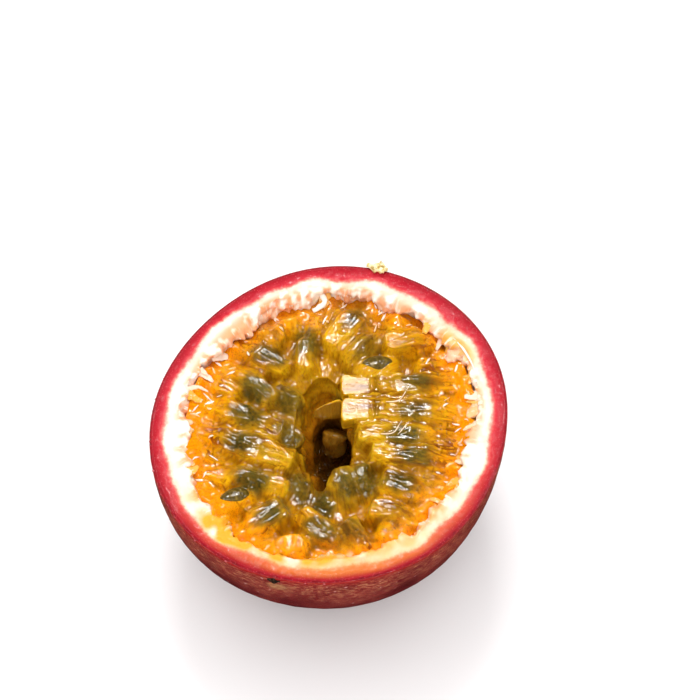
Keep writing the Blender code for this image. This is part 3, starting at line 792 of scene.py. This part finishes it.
half = TONGUE_HALF * np.sqrt(1 - (np.linspace(0, 1, TONGUE_ROWS) * 0.99) ** 4.0)[:, None, None]
round_it = (np.cos(around)[:, None] * np.array([0.1, 0.84, 0.53])
            + 0.25 * np.sin(around)[:, None] * np.array([0.0, -0.53, 0.84]))
tongue = tongue_path[:, None] + half * round_it
tongue = tongue + lumpy(tongue, (0.35, 1.2, 4.0))[..., None]
bodies.append(tongue)
# Painted light and shade: the tongue's upper edge is painted bright yellow as if lit, and the rest darker as
# shade.
lit_upper_edge = ease(np.cos(around) * np.ones((TONGUE_ROWS, 1)), 0.8, 0.97)
tongue_marks = gel_marks(tongue) | {"crease_shade": 0.8 * (1 - lit_upper_edge), "tip": lit_upper_edge,
                                    "seed": 0.35 * (1 - lit_upper_edge), "down": 0 * lit_upper_edge}
for key, values in tongue_marks.items():
    body_marks[key].append(values)
bed = piece_from_grids("packed_pulp_and_juice", bodies, sac_look, body_marks)
as_part(bed, "pulp", "pulp_bed")


# --------------------------------------------------------------------------------------------------
# The bare seeds. The knife opened their sacs, so the hard coat lies bare and wet. Each is flat, pointed at
# both ends and held in the torn gel round it.

SEED_ROWS = 40
SEED_COLUMNS = 48
SEED_HALF_WIDTH = 1.75
SEED_FLATNESS = 0.66  # its thickness over its width

# The coat is hard and horny, dark brown and closely pitted. Under its film of juice the pits show as a fine
# mottle, and the highlight stays soft.
seed_look, shader, add_node, place = new_material("wet_passion_fruit_seed_coat")
pits = add_node("TexVoronoi", {"Vector": place}, Scale=per(0.55))
shade = add_node("ValToRGB", {"Fac": pits}, ((0.0, "3A2C08"), (0.6, "5C4812"), (1.0, "806828")))
bump = add_node("Bump", {"Height": pits}, Strength=0.6, Distance=0.15 * MM)
set_inputs(shader, {"Base Color": shade, "Normal": bump}, Roughness=0.28, IOR=1.5, Specular_IOR_Level=0.3,
           Coat_Weight=0.6, Coat_Roughness=0.05)

for name, seed in seeds.items():
    middle = (seed.root + seed.tip) / 2
    side, up = side_and_up(seed.along)
    turn = np.linspace(0.02, math.pi - 0.02, SEED_ROWS)[:, None, None]
    around = all_round(SEED_COLUMNS)[:, None]
    width = SEED_HALF_WIDTH * np.sin(turn) * (1 - 0.12 * np.cos(turn))
    grid = (middle - (seed.length / 2 + 0.1) * np.cos(turn) * seed.along
            + width * (np.cos(around) * side + SEED_FLATNESS * np.sin(around) * up))
    as_part(piece_from_grids("wet_" + name, [grid[:, ::-1]], seed_look), "seed", name)


# --------------------------------------------------------------------------------------------------
# The torn pith. The knife dragged soft strands of pith and of the sacs' stalks in from the wall, and they
# lie on the pulp: flaps and fine fibres round the far side, a curl beside the far edge, shreds on the
# left, and on the right a flap, a thin strand and the folded skin of a few sacs.

FLAP_COUNT = 30
FIBRE_COUNT = 60
STRAP_COLUMNS = 12
STRAP_ROWS = 15
FLAPS_FROM = (-0.9, 3.6)  # from the right, round by the far side, to the left
FIBRES_FROM = ((110, 205), (110, 205), (-30, 60), (60, 110))  # arcs, of which each fibre lies in one
# Folds in the skin of the sacs on the right, each with its places across and away, all on the pulp
FOLDS = (((7.9, 3.5), (11.9, 3.7), (13.8, 6.8)), ((7.3, -2.6), (10.9, -2.4), (12.2, 0.1)),
         ((11.5, -2.7), (13.4, -0.3)))
FOLD_WIDTH = 0.22


def strap(places, width, thickness, roughness=0.3):
    """A closed strap on a smooth path through a few places, this wide and this thick at each of its rows."""
    path = smooth_path(places, STRAP_ROWS)
    along = np.gradient(path, axis=0)
    along /= np.linalg.norm(along, axis=1, keepdims=True)
    side, up = side_and_up(along)
    around = all_round(STRAP_COLUMNS)
    ray = (np.cos(around)[:, None] * (side * width[:, None] / 2)[:, None]
           + np.sin(around)[:, None] * (up * thickness[:, None] / 2)[:, None])
    grid = path[:, None] + ray
    return (grid + ray * 2 * roughness * rough(grid, 0.7, 3.0)[..., None])[:, ::-1]


def on_pulp(radius, heading, above):
    """A place this far above the pulp's surface."""
    x, y = radius * math.cos(heading), radius * math.sin(heading)
    return x, y, float(on_level(level, np.array(x), np.array(y))) + above


random = np.random.default_rng(11)
share = np.linspace(0, 1, STRAP_ROWS)
bulge = np.sin(math.pi * np.clip(share, 0.08, 0.92)) ** 0.5
shreds = []  # each with how yellow it is with juice, and how pink it is
for _ in range(FLAP_COUNT):
    heading, turn = random.uniform(*FLAPS_FROM), random.uniform(-0.05, 0.05)
    radius, length = cad_wall(heading), random.uniform(1.0, 2.4)
    low = on_pulp(radius - length, heading + turn, 0.1)
    height = min(low[2] + random.uniform(0.8, 2.0), cut_height - 0.6)
    start = (radius + 0.7) * math.cos(heading), (radius + 0.7) * math.sin(heading), height
    fold = (*on_pulp(radius - 0.3, heading + 0.3 * turn, 0.0)[:2], 0.5 * (height + low[2]))
    width = random.uniform(1.2, 2.6) * (1 - 0.7 * share ** 2)
    flap = strap([start, fold, low], width, 0.3 - 0.15 * share)
    shreds.append((flap, random.choice([0.1, 0.5, 0.9]), random.uniform(0.2, 0.9)))
for _ in range(FIBRE_COUNT):
    heading = math.radians(random.uniform(*FIBRES_FROM[random.integers(len(FIBRES_FROM))]))
    radius = cad_wall(heading) - 0.3 - 4.2 * random.uniform(0, 1) ** 1.5
    swing, length, bow = random.uniform(-0.9, 0.9), random.uniform(0.7, 1.8), random.uniform(-0.15, 0.15)
    points = []
    for part, off in ((0, 0), (0.35, bow), (0.7, 0.7 * bow), (1, 0)):
        inward = part * length * math.cos(swing) + off * math.sin(swing)
        aside = part * length * math.sin(swing) - off * math.cos(swing)
        points.append(on_pulp(radius - inward, heading + aside / radius, 0.08))
    width = random.uniform(0.2, 0.4) * np.sin(math.pi * np.clip(share, 0.06, 0.94)) ** 0.6
    yellow, pink = random.choice([0.0, 0.1, 0.6]), random.uniform(0.0, 0.3)
    shreds.append((strap(points, width, 0.8 * width), yellow, pink))
for fold in FOLDS:
    places = np.linspace(0, len(fold) - 1, 9)
    across_and_away = [np.interp(places, range(len(fold)), values) for values in np.transpose(fold)]
    points = [on_pulp(math.hypot(x, y), math.atan2(y, x), 0.06) for x, y in zip(*across_and_away)]
    shreds.append((strap(points, FOLD_WIDTH * bulge, FOLD_WIDTH * bulge), 0.4, 0.2))

curl = (-4.2, 26.4, 0.6), (-2.7, 26.3, 0.7), (-0.6, 25.0, 1.6), (-0.3, 23.6, 2.6), (-2.5, 22.6, 3.1)
flap = (23.4, 13.4, 1.2), (21.6, 12.9, 1.2), (20.0, 12.0, 1.7)
thin = (21.3, 15.3, 0.0), (22.9, 13.2, -0.2), (24.2, 10.6, -0.1), (25.0, 8.0, 0.1)
on_left = [((-23.6, y, 0.7), (-22.0, y + 0.5, 0.5), (-20.3, y - 0.3, 1.0)) for y in (6.5, 9.6, 12.0)]
for places, width, thickness, yellow, pink in (
        (curl, 1.25 - 0.35 * share, 0.7 + 0 * share, 0.05, 0.0),
        (flap, 2.4 * bulge, 1.0 * bulge, 0.1, 0.8),
        (thin, 0.35 * bulge, 0.3 * bulge, 0.0, 0.1),
        (on_left[0], 1.1 - 0.8 * share, 0.5 - 0.3 * share, 0.1, 0.5),
        (on_left[1], 0.9 - 0.6 * share, 0.5 - 0.3 * share, 0.1, 0.4),
        (on_left[2], 1.3 - 0.9 * share, 0.6 - 0.4 * share, 0.6, 0.3)):
    shreds.append((strap([at_depth(*place) for place in places], width, thickness), yellow, pink))

straps, yellows, pinks = zip(*shreds)
ones = [np.ones(grid.shape[:2]) for grid in straps]
torn_marks = {"across": [4.6 * one for one in ones], "tone": [4.6 * one for one in ones],
              "juice": [one * yellow for one, yellow in zip(ones, yellows)],
              "blush": [one * pink for one, pink in zip(ones, pinks)],
              "tan_patch": [0 * one for one in ones], "scar": [0 * one for one in ones], "fibre": straps}
as_part(piece_from_grids("torn_pith_strands", straps, rind_look, torn_marks), "rind")


# --------------------------------------------------------------------------------------------------
# What the cut left on the skin: a crumb of torn pith dried on the far edge, a small dark scab under the
# near edge, and drops of juice round the cut. The crumb is a low heap of grains.

CRUMB_GRAINS = 12
CRUMB_PEAK = 9.4  # how far towards +X the crumb stands highest
CRUMB_HEAP = ((77.0, 0.2), (74.5, 0.5), (72.2, 0.6), (70.0, 0.3))  # headings in degrees and heights
DROPS_AT = (150, 163, 171, 186, 197, 205, 214, 224, 236, 262, 268, 33, 340, 12)  # headings in degrees
DROP_ROWS = 10
DROP_COLUMNS = 14

# Both are dry and matt. The crumb is cream with darker hollows, and the scab is corky and nearly black,
# with tan flecks.
crumb_look, shader, add_node, place = new_material("dry_crumb_and_scab")
pale = add_node("Attribute", attribute_name="pale", give="Fac")
grains = add_node("TexNoise", {"Vector": place}, Scale=per(0.5), Detail=3)
crumb = add_node("ValToRGB", {"Fac": grains}, ((0.3, "B08A3C"), (0.45, "E4CC84"), (0.6, "F8EEC4")))
scab = add_node("ValToRGB", {"Fac": grains}, ((0.4, "1C1009"), (0.62, "4E3218"), (0.7, "C09A4A")))
colour = add_node("Mix", {0: pale, 6: scab, 7: crumb}, data_type="RGBA")
set_inputs(shader, {"Base Color": colour}, Roughness=0.6)


def at_edge(degrees, off, up):
    """A place this far outside the cut's edge, and this far above the cut."""
    heading = math.radians(degrees)
    radius = float(cut_edge(heading)) + off
    return radius * math.cos(heading), radius * math.sin(heading), cut_height + up


dried = []
for off, width in ((-0.1, 0.9), (0.25, 1.2)):
    heap = [at_edge(degrees, off, height) for degrees, height in CRUMB_HEAP]
    dried.append(strap(heap, width * bulge, 1.1 * bulge, 0.9))
for _ in range(CRUMB_GRAINS):
    degrees, off, height = random.uniform(70.0, 74.5), random.uniform(-0.1, 0.3), random.uniform(0.5, 0.9)
    start = np.array(at_edge(degrees, off, height))
    start[2] += max(0.0, 1.0 - abs(start[0] - CRUMB_PEAK)) * random.uniform(0.1, 1.2)
    end = start + random.uniform(-0.5, 0.5, 3)
    width, thickness = random.uniform(0.5, 1.0) * bulge, random.uniform(0.4, 0.8) * bulge
    dried.append(strap([start, (start + end) / 2, end], width, thickness, 1.0))
pale_marks = [np.ones(grid.shape[:2]) for grid in dried] + [np.zeros((STRAP_ROWS, STRAP_COLUMNS))]
scab_path = [at_edge(250.0, 0.05, -1.0), at_edge(252.0, 0.1, -1.1), at_edge(254.0, 0.0, -1.0)]
dried.append(strap(scab_path, 0.9 * bulge, 1.3 * bulge, 0.6))
as_part(piece_from_grids("crumb_and_scab", dried, crumb_look, {"pale": pale_marks}), "rind")

# Passion fruit juice, tinted by the skin under it. It is wet and smooth, so each drop has one sharp glint.
drop_look, shader, _, _ = new_material("clear_juice_drop")
set_inputs(shader, Base_Color=srgb("C86468"), Roughness=0.08, IOR=1.35, Coat_Weight=1.0, Coat_Roughness=0.03)
turn = np.linspace(0.05, math.pi - 0.05, DROP_ROWS)[:, None]
ball = at_heading(all_round(DROP_COLUMNS), np.sin(turn), -np.cos(turn))
drops = []
for degrees, radius in zip(DROPS_AT, random.uniform(0.16, 0.28, len(DROPS_AT))):
    drops.append(np.array(at_edge(degrees, -0.05, random.uniform(-0.9, -0.2))) + radius * ball)
as_part(piece_from_grids("juice_drops", drops, drop_look), "pulp")


# --------------------------------------------------------------------------------------------------
# The floor, the lights and the camera. The fruit stands on a plain pale board. A big overhead light and a
# fill from the near side light it softly and aren't mirrored, a soft panel behind it lays a sheen on the
# wet pulp, and four small lights make only the glints. A long lens looks down on the cut.

FLOOR_HALF = 3000
FLOOR_GAP = 0.02  # between the board and the spot that the fruit rests on
floor_look, shader, _, _ = new_material("matt_white_board")  # matt, so it takes only a soft shadow
set_inputs(shader, Base_Color=srgb("F4F2F2"), Roughness=0.7)
floor_mesh = bpy.data.meshes.new("floor")
corners = [(x * FLOOR_HALF * MM, y * FLOOR_HALF * MM, 0) for x, y in ((-1, -1), (1, -1), (1, 1), (-1, 1))]
floor_mesh.from_pydata(corners, [], [(0, 1, 2, 3)])
floor_mesh.materials.append(floor_look)
floor = bpy.data.objects.new("floor", floor_mesh)
floor.location.z = -FLOOR_GAP * MM
bpy.context.scene.collection.objects.link(floor)
floor.visible_glossy = False

target = Vector((0, 0, cut_height * MM))


def area_light(name, offset, size, power, mirrored=True, lights_up=True):
    """A square light at an offset in millimetres from the middle of the cut, aimed at it. One that isn't
    mirrored makes no highlights, and one that doesn't light things up makes nothing else."""
    data = bpy.data.lights.new(name, "AREA")
    data.size = size * MM
    data.energy = power
    light = bpy.data.objects.new(name, data)
    light.location = target + Vector(offset) * MM
    light.rotation_euler = (-Vector(offset)).to_track_quat("-Z", "Y").to_euler()
    light.visible_glossy = mirrored
    light.visible_diffuse = lights_up
    bpy.context.scene.collection.objects.link(light)


area_light("key", (-220, 260, 420), 45, 0.55, lights_up=False)
area_light("back", (30, 240, 480), 45, 0.5, lights_up=False)
area_light("panel", (-20, 260, 470), 180, 1.2)
area_light("side", (330, 40, 260), 45, 0.35, lights_up=False)
area_light("front", (60, -420, 300), 60, 0.2, lights_up=False)
area_light("overhead", (-60, 60, 700), 800, 3.3, mirrored=False)
area_light("fill", (0, -500, 500), 700, 2.25, mirrored=False)

world = bpy.data.worlds.new("studio")
bpy.context.scene.world = world
world.use_nodes = True
set_inputs(world.node_tree.nodes["Background"], Color=srgb("FFFFFF"), Strength=0.65)
world.cycles_visibility.glossy = False
bpy.context.scene.view_settings.view_transform = "Standard"

CAMERA_ELEVATION = math.radians(63)
LENS = 180
SENSOR = 36
FRAME_WIDTH = 117.1  # how much of the scene the frame takes in at the cut
AIM = (3.7, 11.7)  # how far right of the cut's middle, and above it, the frame's middle lies
camera_data = bpy.data.cameras.new("camera")
camera_data.lens = LENS
camera_data.sensor_width = SENSOR
camera_data.clip_start = 0.01
camera = bpy.data.objects.new("camera", camera_data)
back = Vector((0, -math.cos(CAMERA_ELEVATION), math.sin(CAMERA_ELEVATION)))
above = Vector((0, math.sin(CAMERA_ELEVATION), math.cos(CAMERA_ELEVATION)))
camera.location = target + back * (FRAME_WIDTH * LENS / SENSOR * MM)
aim = target + Vector((1, 0, 0)) * AIM[0] * MM + above * AIM[1] * MM
camera.rotation_euler = (aim - camera.location).to_track_quat("-Z", "Y").to_euler()
bpy.context.scene.collection.objects.link(camera)
bpy.context.scene.camera = camera
